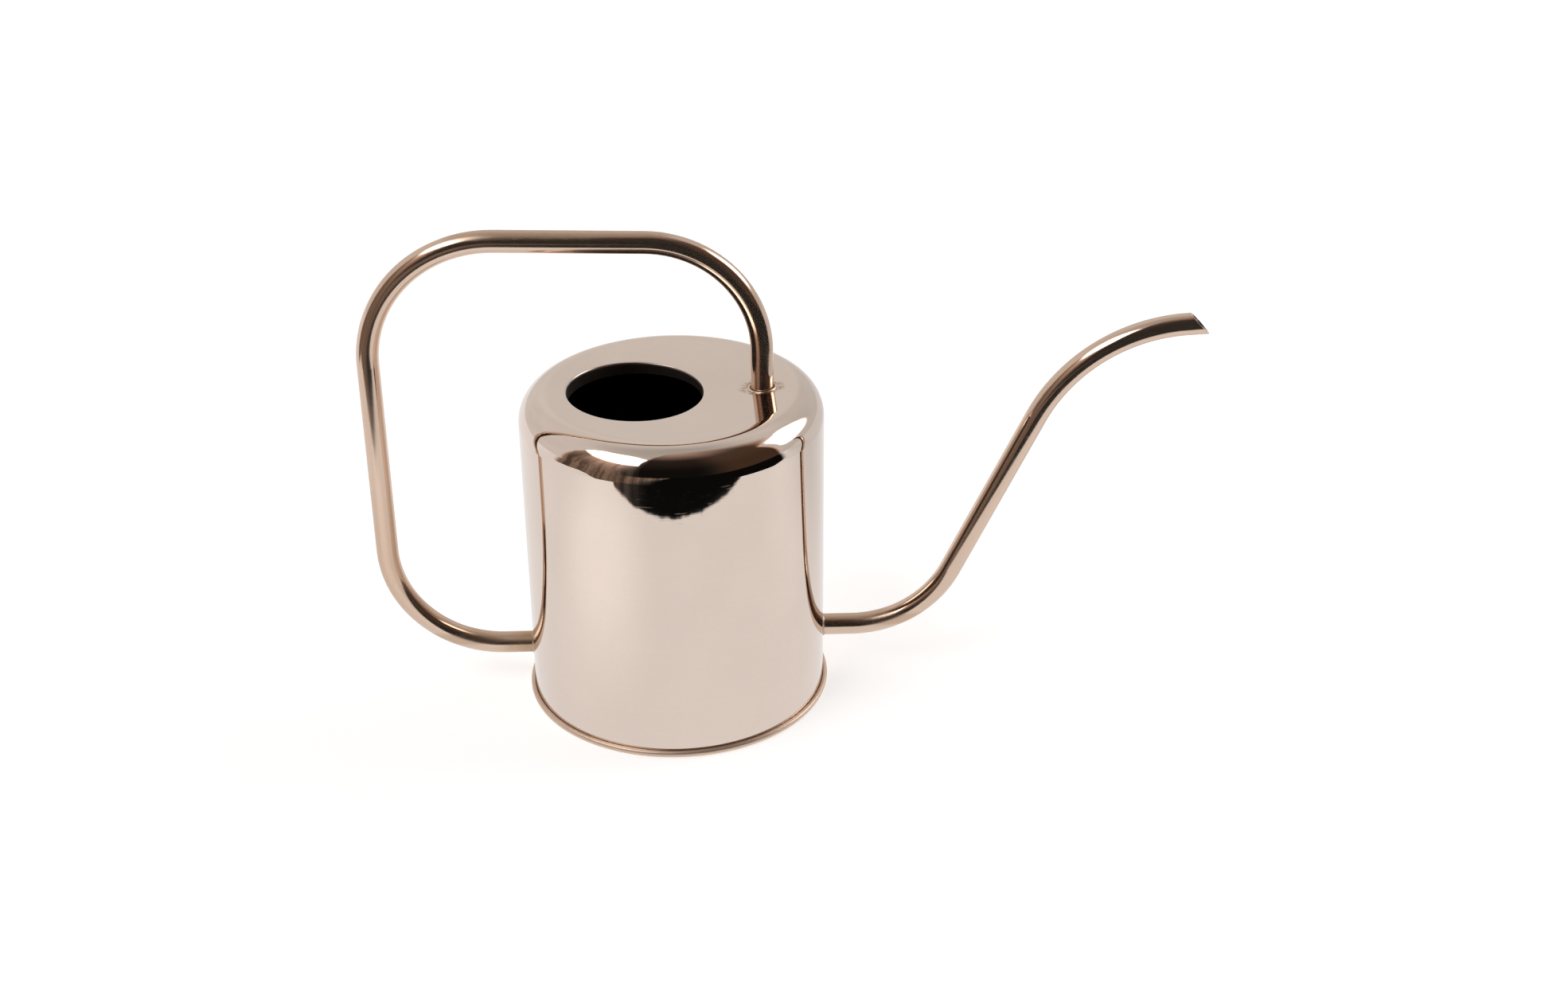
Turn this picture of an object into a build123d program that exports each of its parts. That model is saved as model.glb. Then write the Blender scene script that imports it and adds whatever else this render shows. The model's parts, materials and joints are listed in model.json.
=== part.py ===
from build123d import *
import os
from math import atan, cos, degrees, hypot, radians, sin, sqrt, tan

# Watering can: a drawn metal can with a dished top and an off-centre fill opening, closed by a flat
# base that is folded over the can's foot flange, with a bent tube handle and a bent tube spout.
# Millimetres. +Z is up, the origin is the centre of the base on the ground, the spout points to +X,
# and the handle and the spout lie in the plane Y = 0.

# Can body
body_radius = 65.0          # outside of the straight wall
body_height = 143.6         # ground to the crest of the shoulder
body_wall = 0.8
shoulder_radius = 13.0      # outside, between the wall and the top
dish_depth = 2.4            # how far the middle of the top lies under its crest

# Fill opening, with its edge turned down into the can
opening_radius = 28.85
opening_margin = 7.85       # from its far edge out to the crest, on the handle's side
lip_depth = 4.5             # under the lowest point of the top around it
lip_edge_radius = 1.0

# Seam between the can and its base
base_thickness = 0.8
flange_width = 0.9          # how far the can's foot flange stands out
flange_bend = 0.25          # inside bend between the wall and the flange
seam_gap = 0.3              # filled with sealant, all round the flange
hem_clearance = 0.15        # between the folded edge and the wall
hem_edge_radius = 0.3
sealant_bead = 1.2          # width and height of the bead in the inside corner

# Tube of the handle and of the spout
tube_radius = 4.75
tube_wall = 0.8

# Handle, along its centre line
foot_inset = 13.3           # from the crest of the shoulder in to the foot
grip_rise = 63.9            # top run over the crest, straight above the foot
grip_slope = 1.5            # degrees, rising away from the spout
grip_front_bend = 49.0
grip_back_bend = 54.0
back_gap = 61.15            # from the can's wall out to the upright at the back
low_bend = 48.4
low_height = 18.95          # height of the run that ends on the wall

# Spout, along its centre line
spout_height = 24.5         # where it leaves the wall
spout_reach = 1.5           # how far it stands into the can
spout_hole_clearance = 0.1
spout_low_run = 13.2        # straight, from the wall to the low bend
spout_low_bend = 47.8
spout_slope = 65.0          # degrees, the slanting run above the ground plane
spout_high_bend = 72.5
tip_slope = 3.0             # degrees, the last run above the ground plane
tip_run = 5.2               # straight, from the high bend to the middle of the cut end
tip_rise = 24.8             # middle of the cut end over the crest
tip_cut = 47.0              # degrees between the cut and the ground plane

# Braze metal at the joints
foot_braze_width = 1.4      # bead that stands round the handle's foot
foot_braze_bead = 0.5       # radius of its rounded rim
foot_braze_fill = 0.25      # height between the rim and the tube
joint_braze_leg = 0.6       # chamfered ring where a tube meets the wall

# Values that follow from the sizes above
over = 2.0                  # how far cutting and joining solids run past the surface they meet
crest_radius = body_radius - shoulder_radius
opening_offset = crest_radius - opening_margin - opening_radius
dish_angle = 2 * degrees(atan(dish_depth / crest_radius))
dish_radius = crest_radius / sin(radians(dish_angle)) - shoulder_radius
dish_low = body_height - dish_depth
flange_low = base_thickness + seam_gap
flange_high = flange_low + body_wall
seam_radius = body_radius + flange_width + seam_gap + base_thickness
seam_height = flange_high + seam_gap + base_thickness
foot_x = crest_radius - foot_inset
back_x = -body_radius - back_gap


def turned(outline):
    """A solid of revolution about +Z from an outline in the plane Y = 0."""
    return revolve(Plane.XZ * make_face(outline), Axis.Z)


def top_surface_height(x, y=0.0):
    """Height of the dished top over a point inside its crest."""
    return dish_low + dish_radius - sqrt(dish_radius**2 - x**2 - y**2)


def top_curves(inset):
    """The dish and the shoulder, from the axis to the wall, moved inwards by inset."""
    dish = CenterArc((0, dish_low + dish_radius), dish_radius + inset, 270, dish_angle)
    shoulder_centre = (crest_radius, body_height - shoulder_radius)
    shoulder = CenterArc(shoulder_centre, shoulder_radius - inset, 90 + dish_angle, -90 - dish_angle)
    return [dish, shoulder]


def can_envelope():
    """Everything inside the can's outer surface, down to the ground."""
    curves = top_curves(0)
    rim = curves[-1] @ 1
    sides = Polyline(rim, (body_radius, 0), (0, 0), curves[0] @ 0)
    return turned(curves + [sides])


def body_shell():
    """Wall, shoulder and top in one drawn shell, with the turned-down lip and the spout's hole."""
    outer = top_curves(0)
    inner = top_curves(body_wall)
    bend_centre = (body_radius + flange_bend, flange_high + flange_bend)
    outer_bend = CenterArc(bend_centre, flange_bend, 180, 90)
    inner_bend = CenterArc(bend_centre, flange_bend + body_wall, 180, 90)
    flange_edge = body_radius + flange_width
    flange = Polyline(outer_bend @ 1, (flange_edge, flange_high), (flange_edge, flange_low), inner_bend @ 1)
    shell = turned(
        outer
        + inner
        + [
            Line(outer[0] @ 0, inner[0] @ 0),
            Line(outer[1] @ 1, outer_bend @ 0),
            Line(inner[1] @ 1, inner_bend @ 0),
            outer_bend,
            inner_bend,
            flange,
        ]
    )

    nearest = opening_radius - opening_offset
    lip_low = top_surface_height(nearest) - lip_depth
    lip_height = body_height - lip_low
    opening_centre = Pos(-opening_offset, 0, lip_low)
    bottom_aligned = (Align.CENTER, Align.CENTER, Align.MIN)
    lip = opening_centre * Cylinder(opening_radius + body_wall, lip_height, align=bottom_aligned)
    shell = shell + (lip & can_envelope())
    bore_height = lip_height + body_height
    bore = Pos(0, 0, -lip_height) * opening_centre * Cylinder(opening_radius, bore_height, align=bottom_aligned)
    shell = shell - bore
    rim_edges = [
        edge
        for edge in shell.edges()
        if edge.geom_type != GeomType.LINE
        and abs(hypot((edge @ 0).X + opening_offset, (edge @ 0).Y) - opening_radius) < 0.01
        and edge.center().Z > lip_low + lip_depth / 2
    ]
    shell = fillet(rim_edges, lip_edge_radius)
    return shell - tube_hole()


def tube_hole():
    """The round hole in the wall that the spout passes through."""
    radius = tube_radius + spout_hole_clearance
    depth = body_wall + 2 * over
    middle = body_radius - body_wall / 2
    return Pos(middle, 0, spout_height) * Rot(0, 90, 0) * Cylinder(radius, depth)


def roll_curve(inset):
    """The round of the seam, from its underside to its upper side, moved inwards by inset."""
    roll_radius = seam_height / 2
    return CenterArc((seam_radius - roll_radius, roll_radius), roll_radius - inset, 270, 180)


def base_plate():
    """A flat disc whose edge is rolled up and over the can's foot flange."""
    outer_roll = roll_curve(0)
    inner_roll = roll_curve(base_thickness)
    hem = body_radius + hem_clearance
    hem_low = seam_height - base_thickness
    hem_round = CenterArc((hem + hem_edge_radius, seam_height - hem_edge_radius), hem_edge_radius, 90, 90)
    return turned(
        [
            outer_roll,
            inner_roll,
            Line(outer_roll @ 1, hem_round @ 0),
            hem_round,
            Polyline(hem_round @ 1, (hem, hem_low), inner_roll @ 1),
            Polyline(inner_roll @ 0, (0, base_thickness), (0, 0), outer_roll @ 0),
        ]
    )


def seam_sealant(shell):
    """Sealant in the fold round the flange, with a bead in the can's inside corner."""
    inside = body_radius - body_wall
    roll = roll_curve(base_thickness)
    bead_high = base_thickness + sealant_bead
    inner_side = Polyline(roll @ 0, (inside - sealant_bead, base_thickness), (inside, bead_high), roll @ 1)
    return turned([roll, inner_side]) - shell


def bent_path(corners, bends):
    """A path in the plane Y = 0 through corners (x, z), rounded at each inner one by its bend."""
    points = [Vector(x, 0, z) for x, z in corners]
    edges = []
    start = points[0]
    for before, corner, after, bend in zip(points, points[1:], points[2:], bends):
        towards_before = (before - corner).normalized()
        towards_after = (after - corner).normalized()
        half_angle = radians(towards_before.get_angle(towards_after)) / 2
        setback = bend / tan(half_angle)
        bend_start = corner + towards_before * setback
        bend_end = corner + towards_after * setback
        edges.append(Line(start, bend_start))
        edges.append(TangentArc(bend_start, bend_end, tangent=towards_before * -1))
        start = bend_end
    edges.append(Line(start, points[-1]))
    return Wire([edge.edge() for edge in edges])


def tube_along(path, outer, inner=None):
    """A round bar along the path, or a tube where an inner radius is given."""
    section = Circle(outer) if inner is None else Circle(outer) - Circle(inner)
    return sweep(Plane(origin=path @ 0, z_dir=path % 0) * section, path=path)


def handle_path():
    grip_front = body_height + grip_rise
    grip_back = grip_front + (foot_x - back_x) * tan(radians(grip_slope))
    corners = [
        (foot_x, top_surface_height(foot_x) - over),
        (foot_x, grip_front),
        (back_x, grip_back),
        (back_x, low_height),
        (-body_radius + over, low_height),
    ]
    return bent_path(corners, [grip_front_bend, grip_back_bend, low_bend])


def handle_tube(envelope):
    """One bent tube, its foot cut to the dished top and its other end to the round wall."""
    return tube_along(handle_path(), tube_radius, tube_radius - tube_wall) - envelope


def spout_corners():
    """The corners of the spout's path before bending, the last one in the middle of its cut end."""
    low_setback = spout_low_bend * tan(radians(spout_slope) / 2)
    high_setback = spout_high_bend * tan(radians(spout_slope - tip_slope) / 2)
    last_run = high_setback + tip_run
    low_x = body_radius + spout_low_run + low_setback
    high_z = body_height + tip_rise - last_run * sin(radians(tip_slope))
    high_x = low_x + (high_z - spout_height) / tan(radians(spout_slope))
    tip = (high_x + last_run * cos(radians(tip_slope)), body_height + tip_rise)
    root = (body_radius - body_wall - spout_reach, spout_height)
    return [root, (low_x, spout_height), (high_x, high_z), tip]


def spout_tube(solid=False):
    """One bent tube through the wall, open to the inside and cut at a slant at its tip."""
    *corners, (tip_x, tip_z) = spout_corners()
    spare = 2 * tube_radius
    end = (tip_x + spare * cos(radians(tip_slope)), tip_z + spare * sin(radians(tip_slope)))
    path = bent_path(corners + [end], [spout_low_bend, spout_high_bend])
    tube = tube_along(path, tube_radius, None if solid else tube_radius - tube_wall)
    cut = Plane(origin=(tip_x, 0, tip_z), z_dir=(sin(radians(tip_cut)), 0, cos(radians(tip_cut))))
    return split(tube, bisect_by=cut, keep=Keep.BOTTOM)


def foot_braze(envelope, tube_bar):
    """Braze metal round the handle's foot: a low fill with a rounded rim, square to the top."""
    rim_radius = tube_radius + foot_braze_width - foot_braze_bead
    normal_x = -foot_x / dish_radius
    seat = Plane(
        origin=(foot_x, 0, top_surface_height(foot_x)),
        x_dir=(sqrt(1 - normal_x**2), 0, -normal_x),
        z_dir=(normal_x, 0, sqrt(1 - normal_x**2)),
    )
    fill_height = over + foot_braze_fill
    fill = Pos(0, 0, foot_braze_fill - fill_height / 2) * Cylinder(rim_radius, fill_height)
    rim = Torus(rim_radius, foot_braze_bead)
    return seat * (fill + rim) - tube_bar - envelope


def wall_braze(envelope, tube_bar, side):
    """A chamfered ring in the corner between the wall and a tube on the given side (+1 or -1)."""
    joined = envelope + tube_bar
    reach = body_radius + joint_braze_leg
    corner_edges = [
        edge
        for edge in joined.edges()
        if edge.geom_type == GeomType.BSPLINE
        and 0 < side * edge.center().X < reach
        and edge.length > 2 * tube_radius
    ]
    return chamfer(corner_edges, joint_braze_leg) - envelope - tube_bar


def spout_braze(envelope, tube_bar):
    """The ring at the spout's root, and the metal drawn into the clearance of its hole."""
    wall_ring = envelope - Cylinder(body_radius - body_wall, 2 * body_height)
    in_hole = (tube_hole() & wall_ring) - tube_bar
    return wall_braze(envelope, tube_bar, 1) + in_hole


def main():
    envelope = can_envelope()
    handle_bar = tube_along(handle_path(), tube_radius)
    spout_bar = spout_tube(solid=True)
    shell = body_shell()
    parts = {
        "body_shell": shell,
        "base_plate": base_plate(),
        "seam_sealant": seam_sealant(shell),
        "handle_tube": handle_tube(envelope),
        "spout_tube": spout_tube(),
        "handle_foot_braze": foot_braze(envelope, handle_bar),
        "handle_lower_braze": wall_braze(envelope, handle_bar, -1),
        "spout_braze": spout_braze(envelope, spout_bar),
    }
    os.makedirs("parts", exist_ok=True)
    for name, shape in parts.items():
        export_step(shape, f"parts/{name}.step")


main()
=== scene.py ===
"""A polished watering can with a long spout.

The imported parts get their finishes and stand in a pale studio."""

import json
import math

import bmesh
import bpy
from mathutils import Matrix, Vector


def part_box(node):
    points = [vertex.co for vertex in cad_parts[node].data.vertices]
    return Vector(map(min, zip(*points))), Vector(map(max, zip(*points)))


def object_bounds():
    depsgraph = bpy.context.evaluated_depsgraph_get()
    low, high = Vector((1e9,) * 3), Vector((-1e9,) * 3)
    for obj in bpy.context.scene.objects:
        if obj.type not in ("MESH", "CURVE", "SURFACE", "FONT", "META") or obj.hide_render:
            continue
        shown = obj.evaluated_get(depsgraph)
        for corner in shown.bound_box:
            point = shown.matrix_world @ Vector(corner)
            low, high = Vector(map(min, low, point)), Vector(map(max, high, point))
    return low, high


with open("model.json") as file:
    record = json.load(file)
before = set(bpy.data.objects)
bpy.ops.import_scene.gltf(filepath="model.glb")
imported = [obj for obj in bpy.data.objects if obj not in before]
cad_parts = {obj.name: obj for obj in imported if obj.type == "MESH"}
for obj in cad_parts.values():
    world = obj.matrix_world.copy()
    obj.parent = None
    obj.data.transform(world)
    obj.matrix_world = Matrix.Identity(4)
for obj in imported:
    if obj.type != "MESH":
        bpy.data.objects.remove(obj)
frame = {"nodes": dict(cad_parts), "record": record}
CAD_BOX = [list(corner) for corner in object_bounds()]
NODES = frame["nodes"]

bl_info = {
    "name": "Polished watering can",
    "version": (1, 0, 0),
    "blender": (4, 5, 0),
    "location": "3D View > Sidebar > Watering can",
    "description": "Finishes the watering can's packed parts and sets its studio",
    "category": "Object",
}

# --- sizes, in metres ---

FLANGE_WIDTH = 0.0009  # how far the foot flange stands out from the wall
WALL_INSIDE = 0.0642  # radius of the can's inside
PLATE_TOP = 0.0008  # height of the bottom's inner face
SKIN = 0.0003  # deeper than this under the plating, a face belongs to the inside
BLUR = 0.0002  # width of the border between two finishes on one piece
DULL_FROM = (0.0006, 0.0028)  # above a level run's centre line, its dull top starts
DULL_TO = (0.0060, 0.0090)  # and ends, where the tube bends away
LOW_BEND = (0.006, 0.062)  # the handle's low bend: in from its back, and its height
FOOT_REACH = (0.010, 0.012)  # beyond this, filler belongs to a joint in the wall
RIM_WIDTH = 0.0009  # of the bright rim round the foot's braze
RIM_BLUR = 0.0004  # of that rim's inner edge
HALO_RAGGED = 0.009  # how far the heat stain's edge wanders
HALO_INWARD = 0.005  # how far the stain is drawn in, to make up for that
HALO_OVERLAP = 0.0005  # of the stain and the foot's braze
STAINED_TOP = (0.012, 0.010)  # below the crest, where the heat stain stops

# --- rates of the polishing lines' noise, per metre ---

STREAK_ACROSS = 900.0  # across the lines, on every piece
STREAK_ALONG = 60.0  # along the tubes' drawn lines
TURNED_ALONG = 30.0  # along the lines that run round the can

# --- amounts in the finishes ---

HANDLE_GRAIN = 0.10  # roughness that the lines add
SPOUT_GRAIN = 0.09
BASE_GRAIN = 0.42
TUBE_METALLIC = 0.95  # a little under 1, which lifts the darkest reflections
BASE_METALLIC = 0.92
NECK_DULL_AND_PAINTED_SHADE = 0.72  # of the opening's turned-down edge, as a share of the inside's roughness and painted near-black shade
FILLER_IN_WALL = 0.55  # brightness of the wall's joints, as a share of the rim's
DULL_ROUGHNESS = 0.12  # added along the dull tops of the tubes
DULL_TOP_PAINTED_REFLECTION = 0.34  # a painted brown reflection along those tops, laid on as stain
STREAK_STAIN = 0.20  # tarnish in the tubes' long streaks

# --- tones of the studio ---

WHITE = (1.0, 1.0, 1.0, 1.0)
PAPER = (0.80, 0.80, 0.80, 1.0)
LIGHT_TONE = (1.03, 1.0, 0.97, 1.0)  # the pale walls
DARK_TONE = (1.40, 1.0, 0.82, 1.0)  # the unlit room
AMBER_TONE = (1.75, 1.0, 0.62, 1.0)  # its right part
BOARDS_TONE = (1.42, 1.0, 0.76, 1.0)  # the boards on its left
BOARD_SHARE = (0.36, 0.62)  # noise at which a board is dark, and at which it is pale
BOARD_RATE = 0.16  # noise for each degree round the room

# --- directions in the studio, in degrees ---
# A turn is the angle round the can, 0 in front and positive to the right, and a lift
# is the angle above the floor. A pair is where a smooth step starts and ends.

CEILING_LIFT = (50.0, 78.0)
CORNER_TURN = (84.0, 168.0, 12.0)  # a dimmer stretch of wall: from, to and blur
CORNER_LIFT = (30.0, 70.0)
ROOM_LEFT = -52.0  # turn at which the unlit room starts, low down
ROOM_LEFT_LIFT = (50.0, 64.0)  # from low down to high up, on that side
ROOM_LEFT_SHIFT = 24.0  # how much nearer to the front it starts, high up
ROOM_RIGHT = 83.0  # turn at which it ends, low down
ROOM_RIGHT_LIFT = (43.0, 54.0)  # from low down to high up, on this side
ROOM_RIGHT_SHIFT = 22.0  # how much further it reaches, high up
ROOM_BLUR = 2.0  # half width of its right edge, low down
ROOM_BLUR_HIGH = 18.0  # how much wider that is, high up
ROOM_FADE_LIFT = (58.0, 102.0)  # where it fades into the ceiling
BOARDS_LEFT = (-87.0, -83.0)
BOARDS_RIGHT = (-44.0, -22.0)
BOARDS_LIFT = (58.0, 70.0)
RIGHT_PART = (18.0, 50.0)  # where the room's amber part starts
LEFT_BOX_TURN = (-88.0, -28.0, 2.5)  # from, to and blur
LEFT_BOX_MIDDLES = (-42.0, -57.0)  # turns of its low edge's and high edge's middles
LEFT_BOX_EDGES = (37.5, 67.0)  # lifts of those middles
RIGHT_BOX_MIDDLE = (109.0, 30.0)
RIGHT_BOX_REACH = (21.0, 17.5)
UNLIT_TURN = (-87.0, 84.0, 6.0)  # of the floor past its lit part: from, to and blur

# --- the studio floor, with light and shade painted on it for the metal to mirror, in metres ---

FLOOR_GAP = 0.0002  # the floor lies this far under the can, so that they don't flicker
FRONT_PAINTED_POOL = (-0.175, -0.150)  # a painted pool of light in front on the left, which only the metal mirrors
FRONT_PAINTED_POOL_REACH = (0.02, 0.16)
SPOUT_PAINTED_POOL = (0.250, -0.010)  # and one under the spout
SPOUT_PAINTED_POOL_REACH = (0.02, 0.13)
RIGHT_BOW = 1.28  # how much the edge of the floor's painted light curves, each side of the can
LEFT_BOW = 1.1
LEFT_BOW_END = -0.19  # beyond this the edge runs straight
PAINTED_LIGHT_LEFT_END = (-0.58, -0.52)  # where the floor's painted light ends on the left
EDGE_RAGGED = 0.008  # how far its edge wanders
EDGE_BLUR = 0.002

# --- the camera ---

SENSOR_WIDTH = 36.0  # in millimetres
CLIP = (0.01, 60.0)  # in metres
AIM_SHIFT = Vector((-0.00063, -0.00175, -0.01520))  # from the middle of the can's box

# --- places read from the frame, in metres ---


def node_middle(name):
    """The middle of a node's box."""
    low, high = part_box(name)
    return (Vector(low) + Vector(high)) / 2


def node_size(name):
    """The size of a node's box."""
    low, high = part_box(name)
    return Vector(high) - Vector(low)


def fill_opening():
    """The middle of the filling hole and its radius, from the record's bore."""
    for mount in frame["record"]["mounts"]:
        if mount["name"] == "fill_opening":
            return Vector(mount["pos_m"]), mount["dims"]["r_mm"] / 1000
    raise RuntimeError("the record has no fill_opening mount")


# --- shader expressions ---


class Socket:
    """An output of a node, so that the maths of a finish reads as sums."""

    def __init__(self, recipe, link):
        self.recipe = recipe
        self.link = link

    def math(self, operation, *terms):
        """One Math node on these values."""
        settings = {"operation": operation}
        return self.recipe.node("ShaderNodeMath", settings, dict(enumerate(terms)))

    def __add__(self, other):
        return self.math("ADD", self, other)

    def __radd__(self, other):
        return self.math("ADD", other, self)

    def __sub__(self, other):
        return self.math("SUBTRACT", self, other)

    def __rsub__(self, other):
        return self.math("SUBTRACT", other, self)

    def __mul__(self, other):
        return self.math("MULTIPLY", self, other)

    def __rmul__(self, other):
        return self.math("MULTIPLY", other, self)

    def __truediv__(self, other):
        return self.math("DIVIDE", self, other)

    def __pow__(self, other):
        return self.math("POWER", self, other)

    def at_most(self, other):
        """The lower of the two."""
        return self.math("MINIMUM", self, other)

    def at_least(self, other):
        """The higher of the two."""
        return self.math("MAXIMUM", self, other)

    def root(self):
        """The square root."""
        return self.math("SQRT", self)

    def size(self):
        """The value without its sign."""
        return self.math("ABSOLUTE", self)

    def rise(self, low, high):
        """0 below low and 1 above high, with a smooth step between them."""
        settings = {"interpolation_type": "SMOOTHSTEP"}
        values = {"Value": self, "From Min": low, "From Max": high}
        return self.recipe.node("ShaderNodeMapRange", settings, values)

    def fall(self, low, high):
        """1 below low and 0 above high."""
        return 1 - self.rise(low, high)

    def within(self, low, high, soft):
        """1 between low and high, 0 outside, soft wide at each edge."""
        half = soft / 2
        risen = self.rise(low - half, low + half)
        return risen * self.fall(high - half, high + half)

    def towards(self, other, amount):
        """This value where amount is 0 and the other where it is 1."""
        return self * (1 - amount) + other * amount


class Recipe:
    """The node tree of a material or a world, and the one way to put a node in it."""

    def __init__(self, owner):
        owner.use_nodes = True
        self.tree = owner.node_tree
        self.tree.nodes.clear()

    def node(self, kind, settings=None, values=None, output=0):
        """A node of this kind, given its settings and then its sockets' values."""
        made = self.tree.nodes.new(kind)
        for name, value in (settings or {}).items():
            setattr(made, name, value)
        for name, value in (values or {}).items():
            if isinstance(value, Socket):
                self.tree.links.new(value.link, made.inputs[name])
            else:
                made.inputs[name].default_value = value
        if not made.outputs:
            return made
        return Socket(self, made.outputs[output])

    def parts(self, vector):
        """The three numbers of a vector."""
        first = self.node("ShaderNodeSeparateXYZ", None, {"Vector": vector})
        outputs = first.link.node.outputs
        return [Socket(self, outputs[axis]) for axis in "XYZ"]

    def joined(self, x, y, z):
        """A vector of three numbers."""
        return self.node("ShaderNodeCombineXYZ", None, {"X": x, "Y": y, "Z": z})

    def place(self):
        """The point on the piece, in metres from its origin."""
        return self.node("ShaderNodeTexCoord", output="Object")

    def noise(self, vector, scale, detail=3.0, roughness=0.5):
        """Soft noise from 0 to 1."""
        values = {
            "Vector": vector,
            "Scale": scale,
            "Detail": detail,
            "Roughness": roughness,
        }
        return self.node("ShaderNodeTexNoise", None, values)

    def glowing(self, colour, strength=1.0):
        """A surface that gives this light whatever falls on it."""
        values = {"Color": colour, "Strength": strength}
        return self.node("ShaderNodeEmission", None, values)

    def backdrop(self, colour):
        """The world's light, in this colour."""
        values = {"Color": colour, "Strength": 1.0}
        return self.node("ShaderNodeBackground", None, values)

    def chosen(self, ray, otherwise, on_ray):
        """One shader for the rays of this kind and another for the rest."""
        is_ray = self.node("ShaderNodeLightPath", output=ray)
        values = {0: is_ray, 1: otherwise, 2: on_ray}
        return self.node("ShaderNodeMixShader", None, values)

    def distance(self, first, second):
        """The distance between two points."""
        settings = {"operation": "DISTANCE"}
        values = {0: first, 1: second}
        return self.node("ShaderNodeVectorMath", settings, values, output="Value")

    def blend(self, amount, first, second):
        """The first colour where amount is 0 and the second where it is 1."""
        settings = {"data_type": "RGBA"}
        values = {"Factor": amount, 6: first, 7: second}
        return self.node("ShaderNodeMix", settings, values, output=2)

    def tinted(self, colour, value):
        """A colour darkened or lightened by a value."""
        settings = {"operation": "SCALE"}
        if not isinstance(colour, Socket):
            colour = colour[:3]
        return self.node("ShaderNodeVectorMath", settings, {0: colour, "Scale": value})

    def relief(self, height, depth, strength):
        """A normal from a height of 0 to 1 that stands depth metres tall."""
        values = {"Height": height, "Distance": depth, "Strength": strength}
        return self.node("ShaderNodeBump", None, values)


def rgba(colour):
    """A colour property as the four numbers that a socket takes."""
    return (colour[0], colour[1], colour[2], 1.0)


def across(x, y, middle):
    """The level distance from the point x, y to middle."""
    return ((x - middle[0]) ** 2 + (y - middle[1]) ** 2).root()


def turn_round(x, y):
    """The angle round the can in degrees: 0 in front and positive to the right."""
    return x.math("ARCTAN2", x, y * -1.0) * math.degrees(1.0)


# --- settings ---


class WateringCanFinish(bpy.types.PropertyGroup):
    """Colours and polish of the plated metal."""

    nickel: bpy.props.FloatVectorProperty(
        name="Nickel",
        description="Colour of the clean plating, seen straight on",
        subtype="COLOR",
        min=0.0,
        max=1.0,
        default=(0.775, 0.650, 0.570),
    )
    tube_nickel: bpy.props.FloatVectorProperty(
        name="Tube nickel",
        description="Colour of the thinner plating on the tubes, seen straight on",
        subtype="COLOR",
        min=0.0,
        max=1.0,
        default=(0.725, 0.550, 0.435),
    )
    heat_tint: bpy.props.FloatVectorProperty(
        name="Heat tint",
        description="Colour of the plating where brazing has stained it",
        subtype="COLOR",
        min=0.0,
        max=1.0,
        default=(0.400, 0.235, 0.115),
    )
    filler: bpy.props.FloatVectorProperty(
        name="Brazing filler",
        description="Colour of the scorched filler in the joints",
        subtype="COLOR",
        min=0.0,
        max=1.0,
        default=(0.250, 0.165, 0.095),
    )
    # Near black: dull bare steel, with the shade of the can's hollow painted into its
    # colour
    inside: bpy.props.FloatVectorProperty(
        name="Inside",
        description="Colour of the dull steel inside the can and its tubes",
        subtype="COLOR",
        min=0.0,
        max=1.0,
        default=(0.020, 0.018, 0.017),
    )
    sealant: bpy.props.FloatVectorProperty(
        name="Sealant",
        description="Colour of the sealant inside the bottom seam",
        subtype="COLOR",
        min=0.0,
        max=1.0,
        default=(0.210, 0.200, 0.190),
    )
    polish: bpy.props.FloatProperty(
        name="Polish",
        description="Roughness of the plating where it is brightest",
        subtype="FACTOR",
        min=0.0,
        max=1.0,
        default=0.016,
    )
    haze: bpy.props.FloatProperty(
        name="Haze",
        description="Roughness added in the cloudy patches of the plating",
        subtype="FACTOR",
        min=0.0,
        max=1.0,
        default=0.03,
    )
    shoulder_radius: bpy.props.FloatProperty(
        name="Shoulder radius",
        description="Radius of the bend between the can's wall and its top",
        unit="LENGTH",
        min=0.0,
        default=0.013,
    )
    dish_depth: bpy.props.FloatProperty(
        name="Dish depth",
        description="Depth of the shallow dish in the can's top",
        unit="LENGTH",
        min=0.0,
        default=0.0024,
    )
    halo_width: bpy.props.FloatProperty(
        name="Heat stain width",
        description="Width of the stain around the handle's foot",
        unit="LENGTH",
        min=0.0,
        default=0.0200,
    )


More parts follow.
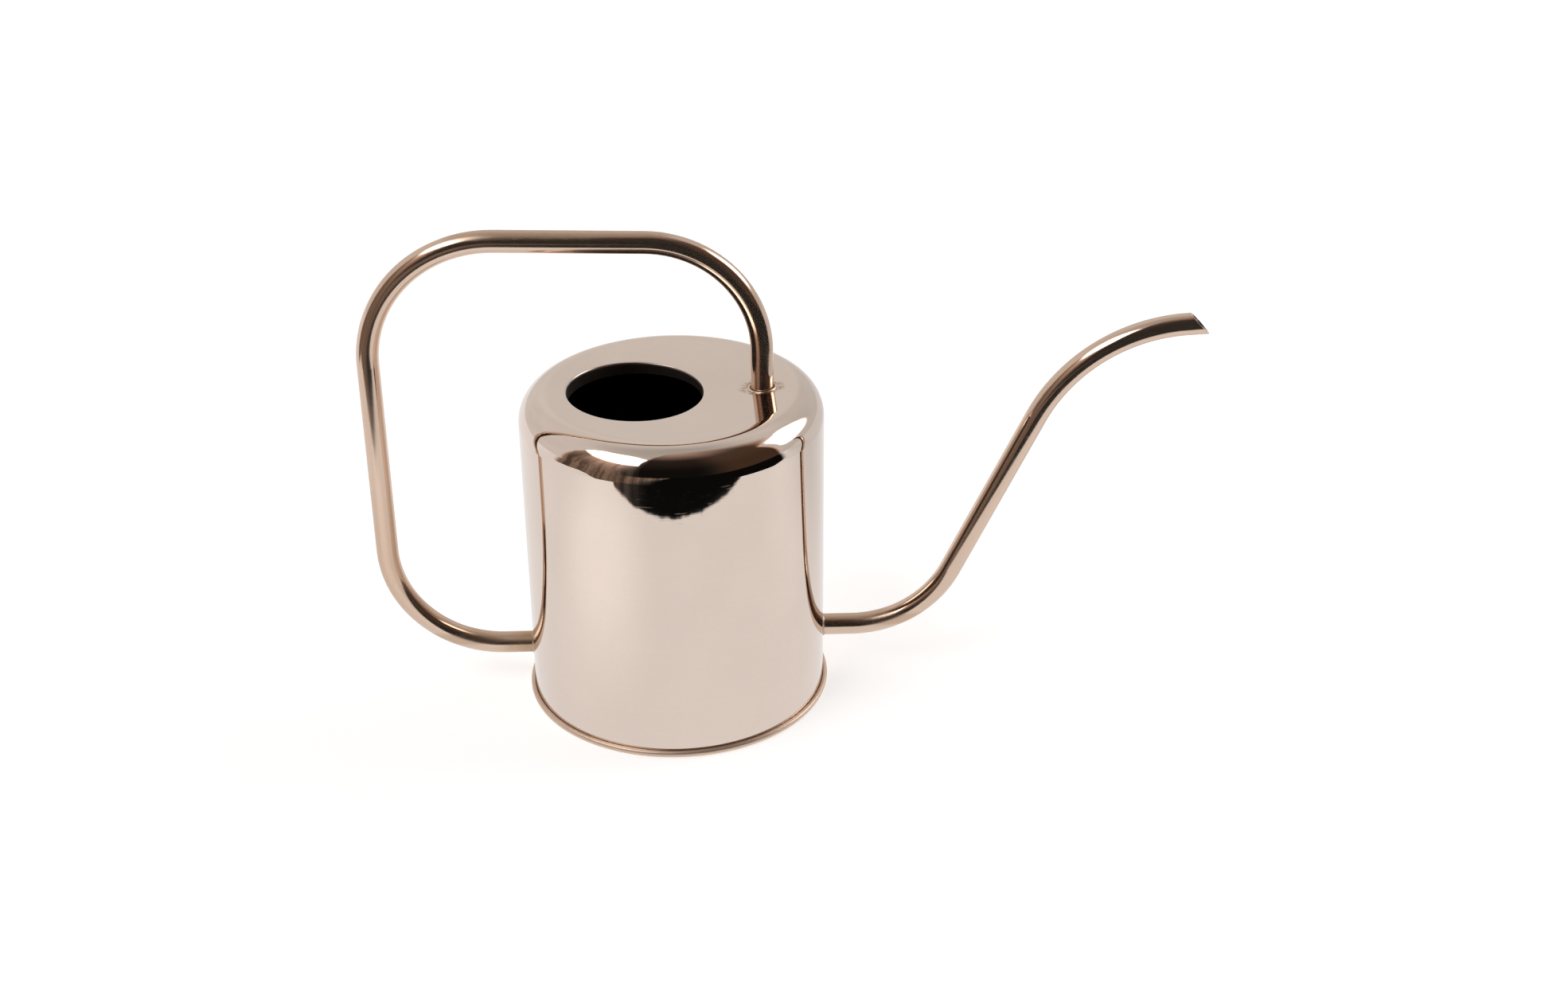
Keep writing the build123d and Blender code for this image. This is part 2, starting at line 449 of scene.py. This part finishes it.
class WateringCanStudio(bpy.types.PropertyGroup):
    """The floor, the light and the camera."""

    floor_white: bpy.props.FloatProperty(
        name="Floor white",
        description="Brightness of the floor where nothing shades it",
        min=0.0,
        default=0.60,
    )
    wall_light: bpy.props.FloatProperty(
        name="Wall light",
        description="Brightness of the pale walls that the metal mirrors",
        min=0.0,
        default=0.72,
    )
    softbox_light: bpy.props.FloatProperty(
        name="Softbox light",
        description="Brightness of the two softboxes",
        min=0.0,
        default=3.2,
    )
    dark_side: bpy.props.FloatProperty(
        name="Dark side",
        description="Brightness of the unlit room behind the camera",
        min=0.0,
        default=0.006,
    )
    stage_reach: bpy.props.FloatProperty(
        name="Floor reach",
        description="Distance from the can's middle to the floor's edge",
        unit="LENGTH",
        min=0.0,
        default=14.0,
    )
    # The floor's painted light, which only the metal mirrors, ends this far in front of
    # the can
    painted_light_reach: bpy.props.FloatProperty(
        name="Lit floor reach",
        description="Distance in front of the can where the lit floor ends",
        unit="LENGTH",
        min=0.0,
        default=0.278,
    )
    camera_distance: bpy.props.FloatProperty(
        name="Camera distance",
        description="Distance from the camera to the point that it looks at",
        unit="LENGTH",
        min=0.1,
        default=0.9106,
    )
    camera_height: bpy.props.FloatProperty(
        name="Camera elevation",
        description="Angle of the camera above the horizon",
        subtype="ANGLE",
        unit="ROTATION",
        default=math.radians(27.96),
    )
    camera_turn: bpy.props.FloatProperty(
        name="Camera turn",
        description="Angle of the camera round the can from straight in front",
        subtype="ANGLE",
        unit="ROTATION",
        default=math.radians(2.10),
    )
    camera_roll: bpy.props.FloatProperty(
        name="Camera roll",
        description="Tilt of the camera about its own line of sight",
        subtype="ANGLE",
        unit="ROTATION",
        default=math.radians(-0.213),
    )
    lens: bpy.props.FloatProperty(
        name="Lens",
        description="Focal length on a sensor 36 mm wide",
        subtype="DISTANCE_CAMERA",
        min=1.0,
        default=48.13,
    )


# --- finishes ---


def plated_metal(
    recipe, finish, lines, metal, rough_inside_painted_shade=0.0, stain=0.0, grain=0.0, metallic=1.0
):
    """Polished nickel: cloudy patches, polishing lines, fine scratches and small pits.

    lines is the vector that the polishing lines follow, metal is the clean colour,
    the inside amount is 1 where the bare inside shows, made rough and painted near
    black as the hollow's shade, and stain is 1 where heat has browned the plating;
    on the tubes' level tops stain also lays on a painted brown reflection."""
    point = recipe.place()
    clouds = recipe.noise(point, scale=34.0, detail=4.0, roughness=0.55)
    specks = recipe.noise(point, scale=420.0, roughness=0.6)
    wipe = recipe.noise(lines, scale=1.0, detail=4.0, roughness=0.65)
    scratches = recipe.noise(lines, scale=3.7, detail=1.0, roughness=0.4)
    scratches = scratches.rise(0.70, 0.74)
    pits = recipe.noise(point, scale=900.0, detail=2.0).rise(0.70, 0.76)
    swell = recipe.noise(point, scale=60.0, detail=2.0)

    shade = 0.94 + clouds * 0.08 + specks * 0.03 - wipe * 0.03
    clean = recipe.tinted(rgba(metal), shade)
    stained = recipe.tinted(rgba(finish.heat_tint), 0.7 + specks * 0.6)
    outside = recipe.blend(stain, clean, stained)
    # The inside's near-black colour is the hollow's painted shade on dull bare steel
    bare = recipe.tinted(rgba(finish.inside), 0.6 + clouds * 0.8)

    polish = finish.polish + grain + clouds.rise(0.45, 0.75) * finish.haze
    polish = polish + scratches * 0.04 + stain * 0.16
    height = swell * 0.6 + wipe * 0.03 + scratches * 0.012 - pits * 0.015

    values = {
        "Base Color": recipe.blend(rough_inside_painted_shade, outside, bare),
        "Metallic": metallic,
        "Roughness": polish.towards(0.45 + clouds * 0.3, rough_inside_painted_shade),
        "Normal": recipe.relief(height, depth=0.00006, strength=0.6),
    }
    return recipe.node("ShaderNodeBsdfPrincipled", None, values)


def finished(name, make):
    """A material whose surface is the shader that make puts in its recipe."""
    material = bpy.data.materials.new(name)
    recipe = Recipe(material)
    shader = make(recipe)
    recipe.node("ShaderNodeOutputMaterial", None, {"Surface": shader})
    return material


def dress(node, material):
    """Gives a CAD node its finish."""
    for material_slot in NODES[node].material_slots:
        material_slot.material = material


def turned_lines(recipe, x, y, z):
    """The vector of polishing lines that run round the can."""
    return recipe.joined(x * TURNED_ALONG, y * TURNED_ALONG, z * STREAK_ACROSS)


def polished_shell(recipe, finish):
    """The can's outside: polished round the axis, heat-stained at the handle's foot.
    Its inside and the opening's turned-down edge get painted near-black shade.
    """
    point = recipe.place()
    x, y, z = recipe.parts(point)
    shell_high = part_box("body_shell")[1]
    crest = shell_high[2]
    bend = finish.shoulder_radius
    bend_middle = shell_high[0] - FLANGE_WIDTH - bend

    radius = across(x, y, (0.0, 0.0))
    sag = 1 - (radius / bend_middle).at_most(1.0) ** 2
    climb = (z - (crest - bend) + sag * finish.dish_depth).at_least(0.0)
    reach_out = (radius - bend_middle).at_least(0.0)
    depth = bend - (reach_out**2 + climb**2).root()

    opening, bore = fill_opening()
    # Faces inside the can and the opening's turned-down edge are made rough and painted
    # near black as shade
    neck = across(x, y, opening).fall(bore + SKIN, bore + SKIN + BLUR)
    inside = depth.rise(SKIN, SKIN + BLUR) * (1 - neck)
    inside = inside.at_least(neck * depth.rise(0.0001, 0.0004) * NECK_DULL_AND_PAINTED_SHADE)

    foot_radius = node_size("handle_foot_braze")[0] / 2
    ragged = recipe.noise(point, scale=260.0, roughness=0.6) * HALO_RAGGED
    from_foot = across(x, y, node_middle("handle_foot_braze"))
    reach = from_foot + ragged - HALO_INWARD
    halo = reach.fall(foot_radius - HALO_OVERLAP, finish.halo_width / 2)
    halo = halo * z.rise(crest - STAINED_TOP[0], crest - STAINED_TOP[1])
    patchy = recipe.noise(point, scale=640.0, roughness=0.6).rise(0.38, 0.62)
    stain = halo * (0.25 + patchy * 0.75)
    lines = turned_lines(recipe, x, y, z)
    return plated_metal(recipe, finish, lines, finish.nickel, inside, stain)


def polished_base(recipe, finish):
    """The rolled bottom: polished outside, bare inside the can, painted near black there
    as shade.
    """
    x, y, z = recipe.parts(recipe.place())
    # Inside the can the bottom is made rough and painted near black as shade
    inside = across(x, y, (0.0, 0.0)).fall(WALL_INSIDE - BLUR, WALL_INSIDE)
    inside = inside * z.rise(PLATE_TOP - BLUR, PLATE_TOP - BLUR / 2)
    return plated_metal(
        recipe,
        finish,
        turned_lines(recipe, x, y, z),
        finish.tube_nickel,
        inside,
        grain=BASE_GRAIN,
        metallic=BASE_METALLIC,
    )


def polished_tube(recipe, finish, runs, joints, grain):
    """A bent tube: drawn lines along it, tarnish in long streaks, and a duller top on
    its level runs, browned there as a painted reflection.

    runs has the heights of the level runs' centre lines, and joints has the place,
    the reach and the strength of each heat stain."""
    point = recipe.place()
    x, y, z = recipe.parts(point)
    streaks = recipe.joined(x * STREAK_ALONG, y * STREAK_ACROSS, z * STREAK_ALONG)
    upward = 0.0
    for level in runs:
        above = z - level
        on_top = above.rise(*DULL_FROM) * above.fall(*DULL_TO)
        upward = on_top.at_least(upward)
    drawn = grain * (0.6 + recipe.noise(streaks, scale=0.8, detail=2.0) * 0.8)

    stain = recipe.noise(streaks, scale=0.5).rise(0.56, 0.86) * STREAK_STAIN
    patchy = recipe.noise(point, scale=260.0, roughness=0.6) * 0.004
    for joint, reach, strength in joints:
        away = recipe.distance(point, joint)
        stain = stain.at_least((away + patchy).fall(0.004, reach) * strength)
    # The browning on the level tops is a painted reflection; the streaks and joint stains
    # are tarnish and heat
    return plated_metal(
        recipe,
        finish,
        streaks,
        finish.tube_nickel,
        stain=stain.at_least(upward * DULL_TOP_PAINTED_REFLECTION),
        grain=drawn + upward * DULL_ROUGHNESS,
        metallic=TUBE_METALLIC,
    )


def scorched_filler(recipe, finish):
    """The brazed joints: a bright plated rim round scorched filler."""
    point = recipe.place()
    x, y, _ = recipe.parts(point)
    mottle = recipe.noise(point, scale=700.0, detail=4.0, roughness=0.6)
    from_foot = across(x, y, node_middle("handle_foot_braze"))
    half = node_size("handle_foot_braze")[0] / 2
    in_wall = from_foot.rise(*FOOT_REACH)
    rim_start = half - RIM_WIDTH
    rim = from_foot.rise(rim_start, rim_start + RIM_BLUR)
    rim = (rim * from_foot.fall(*FOOT_REACH)).at_least(in_wall * FILLER_IN_WALL)
    dark = recipe.tinted(rgba(finish.filler), 0.6 + mottle * 1.1)
    bright = recipe.tinted(rgba(finish.nickel), 0.8 + mottle * 0.3)
    values = {
        "Base Color": recipe.blend(rim, dark, bright),
        "Metallic": 1.0,
        "Roughness": 0.48 - rim * 0.3 + mottle * 0.1,
        "Normal": recipe.relief(mottle, depth=0.0002, strength=0.5),
    }
    return recipe.node("ShaderNodeBsdfPrincipled", None, values)


def rubbery_sealant(recipe, finish):
    """The grey sealant run round the inside of the seam."""
    point = recipe.place()
    lumps = recipe.noise(point, scale=240.0, detail=4.0, roughness=0.6)
    values = {
        "Base Color": recipe.tinted(rgba(finish.sealant), 0.75 + lumps * 0.5),
        "Roughness": 0.55 + lumps * 0.25,
        "Normal": recipe.relief(lumps, depth=0.0004, strength=0.6),
    }
    return recipe.node("ShaderNodeBsdfPrincipled", None, values)


class WATERINGCAN_OT_body(bpy.types.Operator):
    """Finish the can's shell, its rolled bottom and the sealant in the seam"""

    bl_idname = "wateringcan.body"
    bl_label = "Body and bottom"

    def execute(self, context):
        finish = context.scene.wateringcan_finish
        shell = finished("shell nickel", lambda r: polished_shell(r, finish))
        bottom = finished("bottom nickel", lambda r: polished_base(r, finish))
        sealant = finished("seam sealant", lambda r: rubbery_sealant(r, finish))
        dress("body_shell", shell)
        dress("base_plate", bottom)
        dress("seam_sealant", sealant)
        return {"FINISHED"}


class WATERINGCAN_OT_tubes(bpy.types.Operator):
    """Finish the handle and the spout"""

    bl_idname = "wateringcan.tubes"
    bl_label = "Handle and spout"

    def execute(self, context):
        finish = context.scene.wateringcan_finish
        low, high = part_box("handle_tube")
        half = node_size("handle_tube")[1] / 2
        low_bend = (low[0] + LOW_BEND[0], 0.0, LOW_BEND[1])
        joints = [
            (node_middle("handle_lower_braze"), 0.022, 0.7),
            (low_bend, 0.050, 0.22),
        ]
        runs = [low[2] + half, high[2] - half]
        spout_runs = [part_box("spout_tube")[0][2] + half]
        handle = finished(
            "handle nickel",
            lambda r: polished_tube(r, finish, runs, joints, HANDLE_GRAIN),
        )
        spout = finished(
            "spout nickel",
            lambda r: polished_tube(r, finish, spout_runs, [], SPOUT_GRAIN),
        )
        dress("handle_tube", handle)
        dress("spout_tube", spout)
        return {"FINISHED"}


class WATERINGCAN_OT_joints(bpy.types.Operator):
    """Finish the brazed joints"""

    bl_idname = "wateringcan.joints"
    bl_label = "Brazed joints"

    def execute(self, context):
        finish = context.scene.wateringcan_finish
        filler = finished("scorched filler", lambda r: scorched_filler(r, finish))
        for node in ("handle_foot_braze", "handle_lower_braze", "spout_braze"):
            dress(node, filler)
        return {"FINISHED"}


# --- stage ---


def room_boards(recipe, turn, height):
    """Upright boards round the room: 0 on a dark one and 1 on a pale one."""
    place = recipe.joined(turn * BOARD_RATE, height, 0.0)
    return recipe.noise(place, scale=1.0, roughness=0.6).rise(*BOARD_SHARE)


def left_softbox(turn, lift):
    """A long softbox on the left, with a hollow low edge and a bowed high edge."""
    low_edge = ((turn - LEFT_BOX_MIDDLES[0]) / 45.0) ** 2 * 11.0 + LEFT_BOX_EDGES[0]
    high_edge = LEFT_BOX_EDGES[1] - ((turn - LEFT_BOX_MIDDLES[1]) / 30.0) ** 2 * 6.0
    above = (lift - low_edge).rise(-2.5, 2.0)
    below = (high_edge - lift).rise(-1.5, 2.5)
    return turn.within(*LEFT_BOX_TURN) * above * below


def right_softbox(turn, lift):
    """A soft-edged, nearly square softbox on the right."""
    wide = ((turn - RIGHT_BOX_MIDDLE[0]) / RIGHT_BOX_REACH[0]).size() ** 4
    tall = ((lift - RIGHT_BOX_MIDDLE[1]) / RIGHT_BOX_REACH[1]).size() ** 4
    return (wide + tall).fall(0.15, 1.20)


def studio_light(recipe, studio):
    """What the metal mirrors above the floor, by direction: pale walls, a darker
    ceiling, the unlit room behind the camera with boards on its left, and a softbox
    on each side."""
    direction = recipe.node("ShaderNodeTexCoord", output="Generated")
    x, y, z = recipe.parts(direction)
    turn = turn_round(x, y)
    lift = z.math("ARCSINE", z) * math.degrees(1.0)
    patches = recipe.noise(direction, scale=2.2, detail=2.0)

    walls = (0.86 + patches * 0.28) * studio.wall_light
    corner = turn.within(*CORNER_TURN) * lift.fall(*CORNER_LIFT)
    ceiling = lift.rise(*CEILING_LIFT)
    level = walls * (1 - corner * 0.14) * (1 - ceiling * 0.34)

    left_end = ROOM_LEFT + lift.rise(*ROOM_LEFT_LIFT) * ROOM_LEFT_SHIFT
    high_up = lift.rise(*ROOM_RIGHT_LIFT)
    right_end = ROOM_RIGHT + high_up * ROOM_RIGHT_SHIFT
    past_right = (turn - right_end) / (ROOM_BLUR + high_up * ROOM_BLUR_HIGH)
    in_front = (turn - left_end).rise(-4.0, 4.0) * past_right.fall(-1.0, 1.0)
    right_part = turn.rise(*RIGHT_PART)
    room = studio.dark_side + lift.rise(20.0, 62.0) * 0.014 + right_part * 0.030
    level = level.towards(room, in_front * lift.fall(*ROOM_FADE_LIFT))

    left = turn.rise(*BOARDS_LEFT) * turn.fall(*BOARDS_RIGHT) * lift.fall(*BOARDS_LIFT)
    glow = lift.rise(0.0, 50.0) ** 2 * turn.rise(-88.0, -55.0)
    boards = 0.035 + room_boards(recipe, turn, lift * 0.012) * 0.15
    level = level.towards(boards + patches * 0.03 + glow * 0.50, left)

    amber = in_front * right_part * lift.fall(40.0, 70.0)
    tone = recipe.blend(left, LIGHT_TONE, BOARDS_TONE)
    tone = recipe.blend(in_front * lift.rise(0.0, 50.0), tone, DARK_TONE)
    tone = recipe.blend(amber, tone, AMBER_TONE)
    light = recipe.tinted(tone, level)
    lamp = (studio.softbox_light,) * 3 + (1.0,)
    boxes = left_softbox(turn, lift).at_least(right_softbox(turn, lift))
    return recipe.backdrop(recipe.blend(boxes, light, lamp))


def floor_finish(recipe, studio):
    """A pale, softly lit floor. Glossy rays see painted light on it instead, in painted
    pools that end at a curved edge in front of the can, with painted shade past it."""
    point = recipe.place()
    x, y, _ = recipe.parts(point)
    turn = turn_round(x, y)
    grain = recipe.noise(point, scale=500.0, detail=2.0)
    paper = recipe.tinted(PAPER, 0.98 + grain * 0.04)
    matt = recipe.node(
        "ShaderNodeBsdfDiffuse", None, {"Color": paper, "Roughness": 0.5}
    )
    lit = recipe.glowing(WHITE, studio.floor_white)
    seen = recipe.node("ShaderNodeAddShader", None, {0: matt, 1: lit})

    # Painted light for the metal to mirror: brighter pools in front on the left and under
    # the spout, a little more behind, and painted shade to the right
    level = 0.90 + across(x, y, FRONT_PAINTED_POOL).fall(*FRONT_PAINTED_POOL_REACH) * 0.18
    level = level + across(x, y, SPOUT_PAINTED_POOL).fall(*SPOUT_PAINTED_POOL_REACH) * 0.08
    level = level + y.rise(0.06, 0.30) * 0.05
    level = level - x.rise(0.05, 0.30) * y.rise(-0.10, 0.15) * 0.22
    level = level * (0.97 + recipe.noise(point, scale=9.0, detail=2.0) * 0.06)

    # Past a ragged curved edge the painted light gives way to painted shade, with painted
    # dark and pale boards on the left
    ragged = (recipe.noise(point, scale=26.0, roughness=0.6) - 0.5) * EDGE_RAGGED
    right_bow = x.at_least(0.0) ** 2 * RIGHT_BOW
    left_bow = x.at_most(0.0).at_least(LEFT_BOW_END) ** 2 * LEFT_BOW
    edge = y + studio.painted_light_reach - (right_bow + left_bow) + ragged
    past_edge = edge.fall(-EDGE_BLUR, EDGE_BLUR).at_least(x.fall(*PAINTED_LIGHT_LEFT_END))
    unlit = past_edge * turn.within(*UNLIT_TURN)
    left = (x * -1.0).rise(0.08, 0.26)
    gloom = 0.004 + left * (0.05 + room_boards(recipe, turn, 0.0) * 0.12)

    # Only glossy rays see this painted light and shade; the camera sees the plain floor
    tone = recipe.blend(unlit * left, WHITE, BOARDS_TONE)
    painted_reflection_light = recipe.glowing(recipe.tinted(tone, level.towards(gloom, unlit)))
    return recipe.chosen("Is Glossy Ray", seen, painted_reflection_light)


def floor_piece(studio):
    """A wide flat disc under the can."""
    mesh = bpy.data.meshes.new("studio_floor")
    disc = bmesh.new()
    reach = studio.stage_reach
    bmesh.ops.create_circle(disc, cap_ends=True, segments=96, radius=reach)
    just_under = (0.0, 0.0, CAD_BOX[0][2] - FLOOR_GAP)
    bmesh.ops.translate(disc, verts=disc.verts, vec=just_under)
    disc.to_mesh(mesh)
    disc.free()
    floor = bpy.data.objects.new("studio_floor", mesh)
    bpy.context.scene.collection.objects.link(floor)
    paper = finished("studio floor", lambda r: floor_finish(r, studio))
    floor.data.materials.append(paper)


def studio_world(studio):
    """The light round the can, with plain white behind it."""
    world = bpy.data.worlds.new("studio")
    recipe = Recipe(world)
    light = studio_light(recipe, studio)
    surface = recipe.chosen("Is Camera Ray", light, recipe.backdrop(WHITE))
    recipe.node("ShaderNodeOutputWorld", None, {"Surface": surface})
    bpy.context.scene.world = world


def studio_camera(studio):
    """A camera in front, looking down at the can."""
    view = bpy.data.cameras.new("studio_camera")
    view.lens = studio.lens
    view.sensor_width = SENSOR_WIDTH
    view.clip_start, view.clip_end = CLIP
    low, high = (Vector(corner) for corner in CAD_BOX)
    aim = (low + high) / 2 + AIM_SHIFT
    level = math.cos(studio.camera_height)
    forward = Vector(
        (
            math.sin(studio.camera_turn) * level,
            math.cos(studio.camera_turn) * level,
            -math.sin(studio.camera_height),
        )
    )
    roll = Matrix.Rotation(studio.camera_roll, 4, "Z").to_quaternion()
    camera = bpy.data.objects.new("studio_camera", view)
    camera.rotation_euler = (forward.to_track_quat("-Z", "Y") @ roll).to_euler()
    camera.location = aim - forward * studio.camera_distance
    bpy.context.scene.collection.objects.link(camera)
    bpy.context.scene.camera = camera


class WATERINGCAN_OT_stage(bpy.types.Operator):
    """Lay the pale floor and set the studio's light and camera"""

    bl_idname = "wateringcan.stage"
    bl_label = "Studio"

    def execute(self, context):
        studio = context.scene.wateringcan_studio
        floor_piece(studio)
        studio_world(studio)
        studio_camera(studio)
        context.scene.view_settings.view_transform = "Standard"
        return {"FINISHED"}


class WATERINGCAN_PT_panel(bpy.types.Panel):
    """The watering can's sizes, colours and steps"""

    bl_idname = "WATERINGCAN_PT_panel"
    bl_label = "Watering can"
    bl_space_type = "VIEW_3D"
    bl_region_type = "UI"
    bl_category = "Watering can"

    def draw(self, context):
        scene = context.scene
        for group in (scene.wateringcan_finish, scene.wateringcan_studio):
            box = self.layout.box()
            for name in group.bl_rna.properties.keys():
                if name not in {"rna_type", "name"}:
                    box.prop(group, name)
        for operator in OPERATORS:
            self.layout.operator(operator.bl_idname)


OPERATORS = (
    WATERINGCAN_OT_body,
    WATERINGCAN_OT_tubes,
    WATERINGCAN_OT_joints,
    WATERINGCAN_OT_stage,
)
CLASSES = (WateringCanFinish, WateringCanStudio, *OPERATORS, WATERINGCAN_PT_panel)


def register():
    """Adds the classes and their settings to Blender."""
    for cls in CLASSES:
        bpy.utils.register_class(cls)
    scene = bpy.types.Scene
    scene.wateringcan_finish = bpy.props.PointerProperty(type=WateringCanFinish)
    scene.wateringcan_studio = bpy.props.PointerProperty(type=WateringCanStudio)


def unregister():
    """Takes them out again."""
    del bpy.types.Scene.wateringcan_studio
    del bpy.types.Scene.wateringcan_finish
    for cls in reversed(CLASSES):
        bpy.utils.unregister_class(cls)


def main():
    """Runs every step in order."""
    register()
    bpy.ops.wateringcan.body()
    bpy.ops.wateringcan.tubes()
    bpy.ops.wateringcan.joints()
    bpy.ops.wateringcan.stage()
    bpy.context.view_layer.update()


if __name__ == "__main__":
    main()
